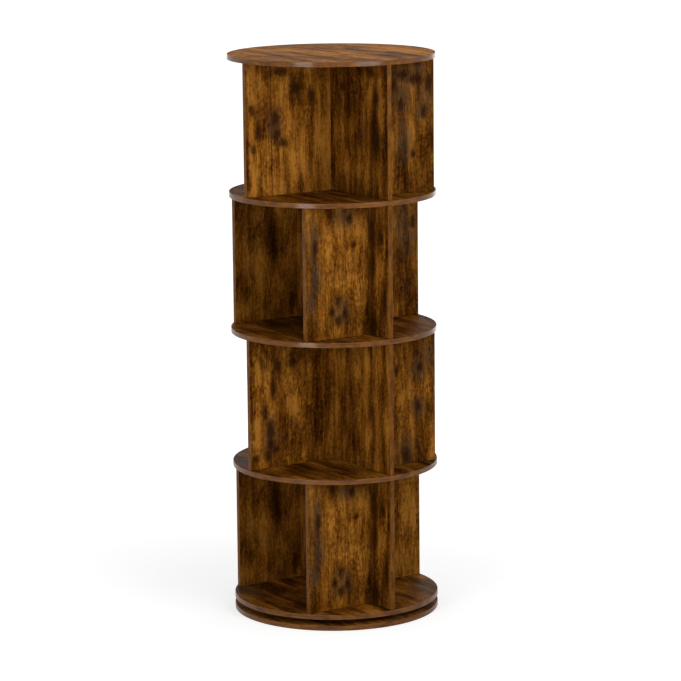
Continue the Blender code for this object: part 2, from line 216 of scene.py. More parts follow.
# Layers of the print: the width and length of their patches in millimetres, their detail, and their roughness
# where it isn't 0.5. Scratches, checks and pores are a few tenths of a millimetre wide on real oak. They are
# drawn nearly a millimetre wide, because finer ones don't show.
BEND = (60, 130, 2)
MOTTLE = (8, 15, 5, 0.6)
TORN = (2.2, 12, 3, 0.65)
FIBRE = (1.6, 42, 4, 0.7)
GROWTH = (55, 700, 1.5, 0.4)
CLOUD = (42, 62, 5, 0.62)
KNOTS = (17, 34, 4, 0.6)
SCRATCHES = (0.8, 34, 2)
CHECKS = (12, 0.9, 2)
PORES = (0.9, 9, 1)
WAVES = ((23, 210, 1.5), (52, 95, 1.5), (3, 40, 3), (5, 8, 2))
WAVE_WEIGHTS = (0.66, 0.48, 0.34, 0.34)
MOTTLE_WEIGHT = 0.36
GOLD_WEIGHT = 0.12
OAK = [(0.30, "2E1504"), (0.42, "552F08"), (0.50, "6B400F"), (0.58, "845117"), (0.70, "A16A26")]
# The grey browns of the smoky stains, which also paint shade on the two lower shelves.
SMOKE_AND_SHADE_BROWNS = [(0.38, "2B2015"), (0.62, "5E4A35")]
CHARRED = [(0.35, "140803"), (0.65, "371C08")]
SCRATCH_BROWN = "B07A38"
CHECK_BROWN = "2A1607"
PORE_BROWN = "1E1006"


def new_material(name, roughness, ior=1.5, metallic=0.0):
    """A Principled material that starts from the constants of the real one."""
    material = bpy.data.materials.new(name)
    material.use_nodes = True
    shader = material.node_tree.nodes["Principled BSDF"]
    shader.inputs["Roughness"].default_value = roughness
    shader.inputs["Metallic"].default_value = metallic
    if not metallic:
        shader.inputs["IOR"].default_value = ior
    return material, material.node_tree, shader


def figure(tree, place, width, length, detail, roughness=0.5):
    """One layer of the print, with patches of this width and length in millimetres along the grain."""
    scale = (1 / (width * MM), 1 / (length * MM), 1)
    stretched = add_node(tree, "VectorMath", {0: place, 1: scale}, operation="MULTIPLY")
    settings = {"Vector": stretched, "Scale": 1, "Detail": detail, "Roughness": roughness}
    return add_node(tree, "TexNoise", settings, "Fac")


def spots(tree, place, ragged, marks):
    """Ragged soft spots, each (across, along, half width, half length) in millimetres on the board."""
    mask = None
    for across, along, half_width, half_length in marks:
        size = (1 / (half_width * MM), 1 / (half_length * MM), 0)
        off = add_node(tree, "VectorMath", {0: place, 1: (across * MM, along * MM, 0)}, operation="SUBTRACT")
        off = add_node(tree, "VectorMath", {0: off, 1: size}, operation="MULTIPLY")
        far = add_node(tree, "VectorMath", {0: off}, "Value", operation="LENGTH")
        far = add_node(tree, "Math", {0: ragged, 1: -SPOT_RAGGED, 2: far}, operation="MULTIPLY_ADD")
        spot = add_node(tree, "MapRange", {"Value": far, "From Min": SPOT_EDGE, "From Max": SPOT_CORE})
        mask = spot if mask is None else add_node(tree, "Math", {0: mask, 1: spot}, operation="MAXIMUM")
    return mask


def laid_over(tree, under, over, layer, start=0.0, full=1.0, most=1.0):
    """Lays a colour over another where a layer rises from start to full, for marks and painted shade."""
    amount = add_node(tree, "MapRange", {"Value": layer, "From Min": start, "From Max": full, "To Max": most})
    return add_node(tree, "Mix", {"Factor": amount, "A": under, "B": over}, 2, data_type="RGBA")


def printed_oak(name, across, along, thick, start, seed, dark=(), smoke_and_shade=(), gold=(), joint=None, tone=0.0):
    """Decor of one board. The grain runs along an axis, and marks count from start on it."""
    material, tree, shader = new_material(name, 0.5, MELAMINE_IOR)
    shader.inputs["Specular IOR Level"].default_value = 0.01
    place = add_node(tree, "TexCoord", out="Object")
    normal = add_node(tree, "TexCoord", out="Normal")
    facing = add_node(tree, "VectorMath", {0: normal, 1: thick}, "Value", operation="DOT_PRODUCT")
    back = add_node(tree, "Math", {0: facing, 1: 0.0}, operation="GREATER_THAN")
    crosswise = add_node(tree, "VectorMath", {0: place, 1: across}, "Value", operation="DOT_PRODUCT")
    crosswise = add_node(tree, "Math", {0: back, 1: BACK_SHIFT, 2: crosswise}, operation="MULTIPLY_ADD")
    lengthwise = add_node(tree, "VectorMath", {0: place, 1: along}, "Value", operation="DOT_PRODUCT")
    lengthwise = add_node(tree, "Math", {0: lengthwise, 1: start}, operation="SUBTRACT")
    plank = add_node(tree, "Math", {0: back, 1: BACK_PLANK, 2: seed}, operation="MULTIPLY_ADD")
    if joint is not None:
        past = add_node(tree, "Math", {0: crosswise, 1: joint * MM}, operation="GREATER_THAN")
        plank = add_node(tree, "Math", {0: past, 1: NEXT_PLANK, 2: plank}, operation="MULTIPLY_ADD")
    flat = add_node(tree, "CombineXYZ", {0: crosswise, 1: lengthwise, 2: plank})

    bend = figure(tree, flat, *BEND)
    bend = add_node(tree, "MapRange", {"Value": bend, "To Min": -BEND_REACH, "To Max": BEND_REACH})
    bent = add_node(tree, "Math", {0: crosswise, 1: bend}, operation="ADD")
    grain = add_node(tree, "CombineXYZ", {0: bent, 1: lengthwise, 2: plank})
    mottle = figure(tree, grain, *MOTTLE)
    torn = figure(tree, grain, *TORN)
    ragged = add_node(tree, "Mix", {"Factor": TORN_SHARE, "A": mottle, "B": torn})
    ragged = add_node(tree, "Math", {0: ragged, 1: 0.5}, operation="SUBTRACT")

    level = add_node(tree, "Math", {0: ragged, 1: MOTTLE_WEIGHT, 2: 0.5 + tone}, operation="MULTIPLY_ADD")
    for layer, weight in zip(WAVES, WAVE_WEIGHTS):
        wave = figure(tree, grain, *layer)
        wave = add_node(tree, "Math", {0: wave, 1: 0.5}, operation="SUBTRACT")
        level = add_node(tree, "Math", {0: wave, 1: weight, 2: level}, operation="MULTIPLY_ADD")
    if gold:
        light = spots(tree, flat, ragged, gold)
        level = add_node(tree, "Math", {0: light, 1: GOLD_WEIGHT, 2: level}, operation="MULTIPLY_ADD")
    colour = add_node(tree, "ValToRGB", {"Fac": level}, "Color", stops=OAK)

    fibre = figure(tree, grain, *FIBRE)
    shading = {"From Min": 0.34, "From Max": 0.62, "To Min": 0.78, "To Max": 1.06}
    shade = add_node(tree, "MapRange", {"Value": fibre, **shading})
    growth = figure(tree, grain, *GROWTH)
    growth = add_node(tree, "Math", {0: growth, 1: RING_COUNT}, operation="MULTIPLY")
    growth = add_node(tree, "Math", {0: growth, 1: 0.5}, operation="PINGPONG")
    rings = add_node(tree, "MapRange", {"Value": growth, "From Max": 0.16, "To Min": 0.7, "To Max": 1.04})
    shade = add_node(tree, "Math", {0: shade, 1: rings}, operation="MULTIPLY")
    if joint is not None:
        seam = add_node(tree, "Math", {0: crosswise, 1: joint * MM}, operation="SUBTRACT")
        seam = add_node(tree, "Math", {0: seam}, operation="ABSOLUTE")
        shading = {"From Max": SEAM_WIDTH, "To Min": 0.25, "To Max": 1}
        seam = add_node(tree, "MapRange", {"Value": seam, **shading})
        shade = add_node(tree, "Math", {0: shade, 1: seam}, operation="MULTIPLY")
    grey = add_node(tree, "CombineColor", {0: shade, 1: shade, 2: shade})
    mix = {"Factor": 1.0, "A": colour, "B": grey}
    colour = add_node(tree, "Mix", mix, 2, data_type="RGBA", blend_type="MULTIPLY")

    # Smoky stains of the print in grey browns; the same layer paints shade on the two lower shelves.
    cloud = figure(tree, flat, *CLOUD)
    haze_and_shade = add_node(tree, "MapRange", {"Value": cloud, "From Min": 0.55, "From Max": 0.8, "To Max": 0.5})
    if smoke_and_shade:
        stain_and_shade = spots(tree, flat, ragged, smoke_and_shade)
        haze_and_shade = add_node(tree, "Math", {0: haze_and_shade, 1: stain_and_shade}, operation="MAXIMUM")
    ash_and_shade = add_node(tree, "ValToRGB", {"Fac": fibre}, "Color", stops=SMOKE_AND_SHADE_BROWNS)
    colour = laid_over(tree, colour, ash_and_shade, haze_and_shade, most=0.56)

    knots = figure(tree, flat, *KNOTS)
    burnt = add_node(tree, "MapRange", {"Value": knots, "From Min": 0.69, "From Max": 0.8, "To Max": 0.8})
    if dark:
        placed = spots(tree, flat, ragged, dark)
        burnt = add_node(tree, "Math", {0: burnt, 1: placed}, operation="MAXIMUM")
    char = add_node(tree, "ValToRGB", {"Fac": mottle}, "Color", stops=CHARRED)
    colour = laid_over(tree, colour, char, burnt, most=0.9)

    scratches = figure(tree, flat, *SCRATCHES)
    colour = laid_over(tree, colour, linear(SCRATCH_BROWN), scratches, start=0.7, full=0.76, most=0.4)
    checks = figure(tree, flat, *CHECKS)
    colour = laid_over(tree, colour, linear(CHECK_BROWN), checks, start=0.66, full=0.74, most=0.45)
    pores = figure(tree, grain, *PORES)
    colour = laid_over(tree, colour, linear(PORE_BROWN), pores, start=0.66, full=0.74, most=0.45)

    tree.links.new(colour, shader.inputs["Base Color"])
    rough = add_node(tree, "MapRange", {"Value": fibre, "To Min": 0.62, "To Max": 0.42})
    tree.links.new(rough, shader.inputs["Roughness"])
    press = add_node(tree, "Bump", {"Strength": 0.4, "Distance": 0.1 * MM, "Height": fibre})
    tree.links.new(press, shader.inputs["Normal"])
    return material


# Edge banding: 0.8 mm plastic tape, glued round every edge that shows and trimmed to a small radius. It is
# printed with the same wood, streaked along the tape, under a clear lacquer. The discs' rims are lacquered
# thicker, so they carry a clear highlight, while the panels' ends stay satin.

TAPE_IOR = 1.5
STREAKS = (2.2, 60, 4, 0.6)
PATCHES = (14, 34, 3, 0.6)
TAPE_OAK = [(0.36, "3A1F03"), (0.45, "5B340A"), (0.54, "6F410D"), (0.66, "86551B")]
RIM_LACQUER = 0.36
END_LACQUER = 0.12


def edging_tape(name, lacquer, radius=None):
    """Tape whose streaks run up a panel's end or, with a radius, round the tower."""
    material, tree, shader = new_material(name, 0.42, TAPE_IOR)
    shader.inputs["Specular IOR Level"].default_value = 0.05
    shader.inputs["Coat Weight"].default_value = lacquer
    shader.inputs["Coat Roughness"].default_value = 0.18
    place = add_node(tree, "TexCoord", out="Object")
    parts = add_node(tree, "SeparateXYZ", {0: place}, "X")
    x, y, z = parts.node.outputs
    if radius:
        angle = add_node(tree, "Math", {0: y, 1: x}, operation="ARCTAN2")
        along = add_node(tree, "Math", {0: angle, 1: radius}, operation="MULTIPLY")
        flat = add_node(tree, "CombineXYZ", {0: z, 1: along})
    else:
        across = add_node(tree, "Math", {0: x, 1: y}, operation="ADD")
        flat = add_node(tree, "CombineXYZ", {0: across, 1: z})
    streak = figure(tree, flat, *STREAKS)
    patch = figure(tree, flat, *PATCHES)
    level = add_node(tree, "Math", {0: streak, 1: patch}, operation="ADD")
    level = add_node(tree, "Math", {0: level, 1: 0.5}, operation="MULTIPLY")
    colour = add_node(tree, "ValToRGB", {"Fac": level}, "Color", stops=TAPE_OAK)
    tree.links.new(colour, shader.inputs["Base Color"])
    ripple = add_node(tree, "Bump", {"Strength": 0.12, "Distance": 0.1 * MM, "Height": streak})
    tree.links.new(ripple, shader.inputs["Normal"])
    return material


rim_tape = edging_tape("wood_printed_rim_tape", RIM_LACQUER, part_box("top_disc")[1].x)
end_tape = edging_tape("wood_printed_end_tape", END_LACQUER)


# Chipboard core: pressed spruce chips and glue. It shows in the holes and on the edges that stand against
# another board, as pale flakes of a few millimetres with dark glue between them.

def pressed_chips():
    material, tree, shader = new_material("raw_chipboard_core", 0.85)
    place = add_node(tree, "TexCoord", out="Object")
    chips = add_node(tree, "TexVoronoi", {"Vector": place, "Scale": 1 / (2.4 * MM)}, "Color")
    pale = add_node(tree, "ValToRGB", {"Fac": chips}, "Color", stops=[(0.1, "7C5C3A"), (0.9, "C4A67C")])
    tree.links.new(pale, shader.inputs["Base Color"])
    crumbs = add_node(tree, "TexNoise", {"Vector": place, "Scale": 1 / (1.1 * MM), "Detail": 3})
    crumbly = add_node(tree, "Bump", {"Strength": 0.6, "Distance": 0.3 * MM, "Height": crumbs})
    tree.links.new(crumbly, shader.inputs["Normal"])
    return material


chipboard = pressed_chips()


# Discs: base disc, bottom shelf, three middle shelves and top disc, cut from 12 mm board on a router, edged
# with tape all round. Blind holes for dowels and single bolts stop 3 mm short of the far side, and the middle
# shelves are bored through for their double-ended bolts.

UP = Vector((0, 0, 1))
ACROSS = Vector((1, 0, 0))
DEEP = Vector((0, 1, 0))
DISC_SIDES = 192
HOLE_SIDES = 24
EDGE_RADIUS = 0.0008
EDGE_STEPS = 3
RIM_DEPTH = 0.002
FLAT = 1e-5
SQUARE_ON = 0.99
EDGE_ON = 0.1
SHARP = math.radians(50)
BLIND = 0.003
OVERRUN = 0.002
DOWEL_HOLE_RADIUS = 0.0043
DOWEL_FROM_END = 0.040
BOLT_HOLE_RADIUS = 0.0033
BOLT_OUT = 0.120
SCREWS = 4
PILOT_RADIUS = 0.0023
BASE_PILOTS_OUT = 0.042
TOWER_PILOTS_OUT = 0.084
ACCESS_RADIUS = 0.008
DOWELLED = ("half_panel", "side_panel_left", "side_panel_right")


def piece_of(name, shape, materials):
    """Turns a bmesh in the tower's frame into a piece."""
    mesh = bpy.data.meshes.new(name)
    shape.to_mesh(mesh)
    shape.free()
    for material in materials:
        mesh.materials.append(material)
    piece = bpy.data.objects.new(name, mesh)
    bpy.context.scene.collection.objects.link(piece)
    return piece


def bored(shape, middle, axis, radius, length, sides=HOLE_SIDES):
    """Adds the round cutter of one hole."""
    turn = UP.rotation_difference(axis).to_matrix().to_4x4()
    bmesh.ops.create_cone(
        shape,
        cap_ends=True,
        segments=sides,
        radius1=radius,
        radius2=radius,
        depth=length,
        matrix=Matrix.Translation(middle) @ turn,
    )


def carve(piece, shape):
    """Takes a bmesh of cutters out of a piece and keeps the result as its mesh."""
    cutter = piece_of("cutter", shape, [])
    modifier = piece.modifiers.new("holes", "BOOLEAN")
    modifier.object = cutter
    modifier.operation = "DIFFERENCE"
    graph = bpy.context.evaluated_depsgraph_get()
    carved = bpy.data.meshes.new_from_object(piece.evaluated_get(graph))
    piece.modifiers.clear()
    piece.data = carved
    bpy.data.objects.remove(cutter)


def finish(piece, body, node):
    """Smooths a piece, and seats it on its body in place of a CAD node."""
    piece.data.shade_smooth()
    piece.data.set_sharp_from_angle(angle=SHARP)
    weighted = piece.modifiers.new("flat_faces", "WEIGHTED_NORMAL")
    weighted.keep_sharp = True
    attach(piece, body)
    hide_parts(node)


def surface_board(piece, thick, planes, taped):
    """Gives decor to a board's two faces, tape to the edges that show, and bare chips to the rest."""
    for face in piece.data.polygons:
        level = abs(face.normal.dot(thick))
        on_face = any(abs(face.center.dot(thick) - plane) < FLAT for plane in planes)
        if level > SQUARE_ON and on_face:
            face.material_index = 0
        elif taped(face):
            face.material_index = 1
        elif EDGE_ON < level < SQUARE_ON:
            face.material_index = 0
        else:
            face.material_index = 2


def round_the_axis(count, share=0.0):
    """Directions spread evenly round the tower's axis, the first by a share of a step past +X."""
    turns = [2 * math.pi * (k + share) / count for k in range(count)]
    return [Vector((math.cos(turn), math.sin(turn), 0)) for turn in turns]


def dowel_places(tier):
    """Where a tier's dowels stand: two in each half panel and side panel."""
    places = []
    for part in DOWELLED:
        low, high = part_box(f"tier_{tier}_{part}")
        for x in (low.x + DOWEL_FROM_END, high.x - DOWEL_FROM_END):
            places.append(Vector((x, (low.y + high.y) / 2, 0)))
    return places


def blind_holes(shape, places, radius, face, inward):
    """Adds cutters for blind holes from a disc's face, which stop short of its far side."""
    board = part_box("top_disc")
    depth = board[1].z - board[0].z - BLIND
    for place in places:
        middle = Vector((place.x, place.y, face + inward * (depth - OVERRUN) / 2))
        bored(shape, middle, UP, radius, depth + OVERRUN)


def eased(shape, edges):
    """Rounds a board's edges as the trimming of its tape does."""
    rounding = {"offset": EDGE_RADIUS, "segments": EDGE_STEPS, "profile": 0.5, "affect": "EDGES"}
    bmesh.ops.bevel(shape, geom=edges, **rounding)


def make_disc(node, body, seed, above, below, **marks):
    """A disc with the holes for the tiers above and below it, where 0 is none."""
    low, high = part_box(node)
    middle = (low.z + high.z) / 2
    through = 2 * (high.z - low.z)
    shape = bmesh.new()
    bored(shape, (0, 0, middle), UP, high.x, high.z - low.z, DISC_SIDES)
    eased(shape, [edge for edge in shape.edges if any(len(face.verts) > 4 for face in edge.link_faces)])
    decor = printed_oak("printed_oak_" + node, ACROSS, DEEP, -UP, 0, seed, **marks)
    piece = piece_of(node + "_board", shape, [decor, rim_tape, chipboard])

    holes = bmesh.new()
    bolts = [Vector((0, BOLT_OUT, 0)), Vector((0, -BOLT_OUT, 0))]
    if above:
        blind_holes(holes, dowel_places(above), DOWEL_HOLE_RADIUS, high.z, -1)
    if below:
        blind_holes(holes, dowel_places(below), DOWEL_HOLE_RADIUS, low.z, 1)
    if above and below:
        for place in bolts:
            bored(holes, (place.x, place.y, middle), UP, BOLT_HOLE_RADIUS, through)
    elif above:
        blind_holes(holes, bolts, BOLT_HOLE_RADIUS, high.z, -1)
    elif below:
        blind_holes(holes, bolts, BOLT_HOLE_RADIUS, low.z, 1)
    if node == "base_disc":
        pilots = [BASE_PILOTS_OUT * way for way in round_the_axis(SCREWS, 0.5)]
        blind_holes(holes, pilots, PILOT_RADIUS, high.z, -1)
        bored(holes, (TOWER_PILOTS_OUT, 0, middle), UP, ACCESS_RADIUS, through)
    if node == "bottom_shelf":
        pilots = [TOWER_PILOTS_OUT * way for way in round_the_axis(SCREWS)]
        blind_holes(holes, pilots, PILOT_RADIUS, low.z, 1)
    carve(piece, holes)
    surface_board(piece, UP, (low.z, high.z), lambda face: face.center.xy.length > high.x - RIM_DEPTH)
    finish(piece, body, node)


# The top disc's marks. Each is (across, along, half width, half length) in millimetres from the axis.
TOP_MARKS = {
    "dark": [(82, 20, 11, 45), (62, -150, 10, 30), (88, 60, 9, 20), (-143, 5, 9, 28), (-70, 60, 6, 26)],
    "smoke_and_shade": [
        (84, 10, 24, 78), (66, -148, 22, 52), (72, 170, 34, 50), (-150, 10, 22, 60), (-20, 200, 30, 40),
    ],
    "gold": [
        (170, -60, 34, 90), (120, -10, 16, 60), (-43, -80, 26, 60), (-44, 122, 18, 50), (0, -190, 24, 40),
    ],
    "tone": 0.05,
}
# Painted shade: grey marks at both ends of the two lower shelves, where the disc above shades them.
LOWER_SHELF_SHADE = {"smoke_and_shade": [(190, -130, 40, 70), (-195, 130, 40, 70)]}
make_disc("base_disc", "base", seed=11.0, above=0, below=0)
make_disc("bottom_shelf", "tower", seed=13.3, above=1, below=0, tone=-0.03, **LOWER_SHELF_SHADE)
make_disc("shelf_1", "tower", seed=15.6, above=2, below=1, tone=-0.05, **LOWER_SHELF_SHADE)
make_disc("shelf_2", "tower", seed=17.9, above=3, below=2, tone=-0.03)
make_disc("shelf_3", "tower", seed=20.2, above=4, below=3, tone=-0.03)
make_disc("top_disc", "tower", seed=22.5, above=0, below=4, **TOP_MARKS)


# Panels: in each tier a divider across the full width, a half panel to the rim on one side, and two side
# panels that close a deep book bay on the other. They are sawn upright from the same board, with tape on
# the ends that show. The dividers are bored for cams and bolts, and each tier is turned by half a turn.

CAM_POCKET_RADIUS = 0.0063
CAM_FLOOR = 0.0014
BOLT_BORE_RADIUS = 0.0028
CAMS = [f"cam_{end}_{hand}" for end in ("bottom", "top") for hand in ("left", "right")]
END_ON = 0.3
FIRST_SEED = 47.0
TIER_SEED = 10.0
PART_SEED = 2.1
HALF_PANEL_SEED = 3.1
TIERS = 4


def cuboid(middle, size):
    shape = bmesh.new()
    bmesh.ops.create_cube(shape, size=1)
    bmesh.ops.scale(shape, vec=size, verts=shape.verts)
    bmesh.ops.translate(shape, vec=middle, verts=shape.verts)
    return shape


def make_panel(tier, part, thick, across, ends, cuts, seed):
    """A panel as tall as its tier's divider, with tape on the ends that face these ways."""
    node = f"tier_{tier}_{part}"
    low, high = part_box(node)
    low.z, high.z = (corner.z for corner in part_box(f"tier_{tier}_divider"))

    def taped(face):
        return any(face.normal.dot(way) > END_ON for way in ends)

    shape = cuboid((low + high) / 2, high - low)
    eased(shape, shape.edges[:])
    marks = PRINTS.get((tier, part), {})
    decor = printed_oak("printed_oak_" + node, across, UP, thick, low.z, seed, **marks)
    piece = piece_of(node + "_board", shape, [decor, end_tape, chipboard])
    for cut in cuts:
        carve(piece, cut)
    surface_board(piece, thick, (low.dot(thick), high.dot(thick)), taped)
    finish(piece, "tower", node)


# The print repeats from board to board, so tiers 1 and 3 share their marks. Each is (across, along, half
# width, half length) in millimetres, counted up from the foot of the board.
SIDE_PRINT = {
    "dark": [
        (-60, 284, 9, 10), (-48, 219, 6, 10), (-93, 92, 7, 14), (-112, 66, 9, 10),
        (-94, 40, 10, 12), (-75, 59, 6, 14), (-158, 220, 7, 19),
    ],
    "smoke_and_shade": [
        (-72, 285, 26, 19), (-162, 239, 14, 53), (-154, 150, 14, 33), (-169, 96, 11, 29), (-89, 63, 23, 29),
    ],
    "gold": [
        (-102, 158, 12, 29), (-32, 262, 15, 34), (-22, 106, 12, 58), (-119, 199, 9, 29), (-59, 161, 9, 34),
    ],
    "tone": -0.02,
}
DIVIDER_PRINT = {
    "dark": [
        (-179, 245, 15, 53), (-180, 172, 12, 45), (-219, 236, 6, 10), (-182, 27, 18, 22), (-230, 88, 7, 40),
    ],
    "gold": [(-205, 132, 13, 58), (-228, 220, 8, 34)],
    "tone": -0.03,
}
PRINTS = {
    (1, "side_panel_left"): SIDE_PRINT,
    (3, "side_panel_left"): SIDE_PRINT,
    (1, "divider"): DIVIDER_PRINT,
    (3, "divider"): DIVIDER_PRINT,
    (1, "half_panel"): {"gold": [(202, 173, 25, 50), (227, 142, 12, 35)], "tone": 0.05},
    (3, "half_panel"): {"dark": [(231, 233, 8, 15)], "smoke_and_shade": [(205, 226, 25, 50), (226, 191, 19, 35)]},
    (4, "half_panel"): {
        "dark": [
            (-230, 207, 8, 16), (-211, 157, 7, 19), (-164, 185, 10, 20), (-162, 146, 10, 20),
            (-142, 125, 14, 10), (-146, 294, 23, 10), (-100, 254, 18, 12), (-62, 232, 9, 20),
            (-226, 112, 6, 12),
        ],
        "smoke_and_shade": [(-165, 166, 17, 39)],
        "gold": [(-210, 261, 17, 44), (-220, 58, 14, 58), (-91, 298, 29, 12), (-191, 109, 11, 39)],
        "joint": -175,
        "tone": 0.06,
    },
    (4, "divider"): {
        "dark": [(-60, 255, 14, 12), (-179, 296, 15, 12), (-200, 235, 12, 19), (-194, 138, 19, 34)],
        "gold": [(-148, 274, 13, 22), (-224, 189, 11, 72)],
        "tone": -0.06,
    },
    (4, "side_panel_right"): {
        "dark": [
            (97, 283, 19, 10), (135, 271, 22, 12), (171, 259, 10, 22), (156, 193, 8, 15), (124, 93, 7, 9),
            (66, 262, 8, 16), (88, 214, 9, 14), (181, 120, 6, 22),
        ],
        "smoke_and_shade": [
            (118, 280, 51, 25), (165, 232, 18, 34), (150, 191, 18, 20), (95, 235, 26, 40), (100, 130, 22, 44),
        ],
        "gold": [(119, 149, 9, 29), (82, 40, 12, 29), (152, 159, 9, 25)],
        "tone": -0.03,
    },
    (2, "half_panel"): {
        "dark": [
            (-188, 95, 10, 22), (-188, 58, 9, 18), (-203, 139, 7, 22), (-174, 44, 9, 7), (-197, 31, 9, 12),
            (-233, 26, 10, 10), (-181, 194, 7, 24), (-168, 251, 9, 22), (-125, 255, 15, 18),
        ],
        "smoke_and_shade": [(-188, 83, 17, 39)],
        "gold": [(-215, 233, 26, 58), (-230, 108, 13, 53), (-215, 177, 17, 29), (-112, 151, 20, 49)],
    },
    (2, "side_panel_right"): {
        "dark": [(139, 235, 8, 11), (72, 233, 6, 11), (135, 139, 8, 14), (98, 24, 11, 18)],
        "smoke_and_shade": [(139, 235, 24, 25), (101, 29, 24, 34), (135, 139, 18, 20), (161, 266, 18, 25)],
        "gold": [(117, 178, 9, 22), (84, 154, 12, 34), (169, 179, 9, 34)],
        "tone": 0.03,
    },
}


def bay_side(tier):
    """1 where a tier's book bay faces +X, and -1 where it faces -X."""
    return 1 if tier % 2 == 0 else -1


for tier in range(1, TIERS + 1):
    side = bay_side(tier)
    seed = FIRST_SEED + TIER_SEED * (tier if side > 0 else 1)
    low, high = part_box(f"tier_{tier}_divider")
    pockets = bmesh.new()
    bores = bmesh.new()
    for cam in CAMS:
        middle = sum(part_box(f"tier_{tier}_{cam}"), Vector()) / 2
        sunk = Vector((side * (CAM_FLOOR + OVERRUN) / 2, middle.y, middle.z))
        bored(pockets, sunk, ACROSS, CAM_POCKET_RADIUS, high.x - low.x - CAM_FLOOR + OVERRUN)
        end = high.z + OVERRUN if "top" in cam else low.z - OVERRUN
        bored(bores, (0, middle.y, (middle.z + end) / 2), UP, BOLT_BORE_RADIUS, abs(end - middle.z))
    make_panel(tier, "divider", ACROSS, DEEP, (DEEP, -DEEP), [pockets, bores], seed)
    for k, part in enumerate(DOWELLED):
        out = -side if part == "half_panel" else side
        own = seed + PART_SEED * (k + 1) + (HALF_PANEL_SEED * tier if part == "half_panel" else 0)
        make_panel(tier, part, DEEP, ACROSS, (out * ACROSS,), [], own)


# Dowels: fluted beech pegs, 8 mm thick, glued into both ends of every half panel and side panel. Their free
# ends stand in the discs' blind holes, and the flutes let glue and air out. Turned and pressed beech is pale
# and matt, with fine streaks along the peg and short darker flecks.

DOWEL_RADIUS = 0.004
FLUTES = 14
FLUTE_DEPTH = 0.0004
PEG_CHAMFER = 0.001
PEG_ROOT = 0.001


def beech():
    material, tree, shader = new_material("fluted_beech", 0.62)
    place = add_node(tree, "TexCoord", out="Object")
    thin = (1 / (0.8 * MM), 1 / (0.8 * MM), 1 / (14 * MM))
    upright = add_node(tree, "VectorMath", {0: place, 1: thin}, operation="MULTIPLY")
    streak = add_node(tree, "TexNoise", {"Vector": upright, "Scale": 1, "Detail": 3, "Roughness": 0.6}, "Fac")
    pale = add_node(tree, "ValToRGB", {"Fac": streak}, "Color", stops=[(0.35, "B98E5F"), (0.62, "DDBE94")])
    short = (1 / (0.5 * MM), 1 / (0.5 * MM), 1 / (3 * MM))
    dashes = add_node(tree, "VectorMath", {0: place, 1: short}, operation="MULTIPLY")
    fleck = add_node(tree, "TexNoise", {"Vector": dashes, "Scale": 1, "Detail": 1}, "Fac")
    colour = laid_over(tree, pale, linear("9C6C3E"), fleck, start=0.62, full=0.7, most=0.5)
    tree.links.new(colour, shader.inputs["Base Color"])
    grain = add_node(tree, "Bump", {"Strength": 0.4, "Distance": 0.2 * MM, "Height": streak})
    tree.links.new(grain, shader.inputs["Normal"])
    return material


def stacked(shape, rings):
    """Adds a closed solid through rings of points, with a cap at each end."""
    rows = [[shape.verts.new(point) for point in ring] for ring in rings]
    for low_row, high_row in zip(rows, rows[1:]):
        for i in range(len(low_row)):
            j = (i + 1) % len(low_row)
            shape.faces.new((low_row[i], low_row[j], high_row[j], high_row[i]))
    shape.faces.new(list(reversed(rows[0])))
    shape.faces.new(rows[-1])


def peg_ring(x, y, z, radius):
    ring = []
    for i in range(2 * FLUTES):
        turn = math.pi * i / FLUTES
        reach = radius - (i % 2) * FLUTE_DEPTH
        ring.append((x + reach * math.cos(turn), y + reach * math.sin(turn), z))
    return ring


def peg_end(shape, x, y, tip, root):
    """Adds a peg's free end, from its chamfered tip to its root in the board."""
    eased_at = tip + math.copysign(PEG_CHAMFER, root - tip)
    rings = [
        peg_ring(x, y, tip, DOWEL_RADIUS - PEG_CHAMFER),
        peg_ring(x, y, eased_at, DOWEL_RADIUS),
        peg_ring(x, y, root, DOWEL_RADIUS),
    ]
    stacked(shape, rings if root > tip else rings[::-1])


beech_wood = beech()
for tier in range(1, TIERS + 1):
    for part in DOWELLED:
        node = f"tier_{tier}_{part}"
        low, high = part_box(node)
        foot, head = (corner.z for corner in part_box(f"tier_{tier}_divider"))
        y = (low.y + high.y) / 2
        shape = bmesh.new()
        for x in (low.x + DOWEL_FROM_END, high.x - DOWEL_FROM_END):
            peg_end(shape, x, y, low.z, foot + PEG_ROOT)
            peg_end(shape, x, y, high.z, head - PEG_ROOT)
        finish(piece_of(node + "_dowels", shape, [beech_wood]), "tower", node)


# Cams: die-cast zinc discs, 12 mm across, pushed into the dividers' pockets from the book bay. Half a turn of
# a screwdriver in the cross draws the bolt's head in. The casting is dull grey, with a fine sandy skin.

CAM_SIDES = 40
CAM_RADIUS = 0.006
CAM_CHAMFER = 0.0004
HEAD_BORE_RADIUS = 0.0034
NECK_SLOT = 0.0038
CROSS_LENGTH = 0.0064
CROSS_WIDTH = 0.0012
CROSS_DEPTH = 0.0014


def clouded(tree, shader, layer, stops, smooth, dull):
    """Colours a metal by a layer of noise, and lets its roughness run from smooth to dull with it."""
    colour = add_node(tree, "ValToRGB", {"Fac": layer}, "Color", stops=stops)
    tree.links.new(colour, shader.inputs["Base Color"])
    rough = add_node(tree, "MapRange", {"Value": layer, "To Min": smooth, "To Max": dull})
    tree.links.new(rough, shader.inputs["Roughness"])


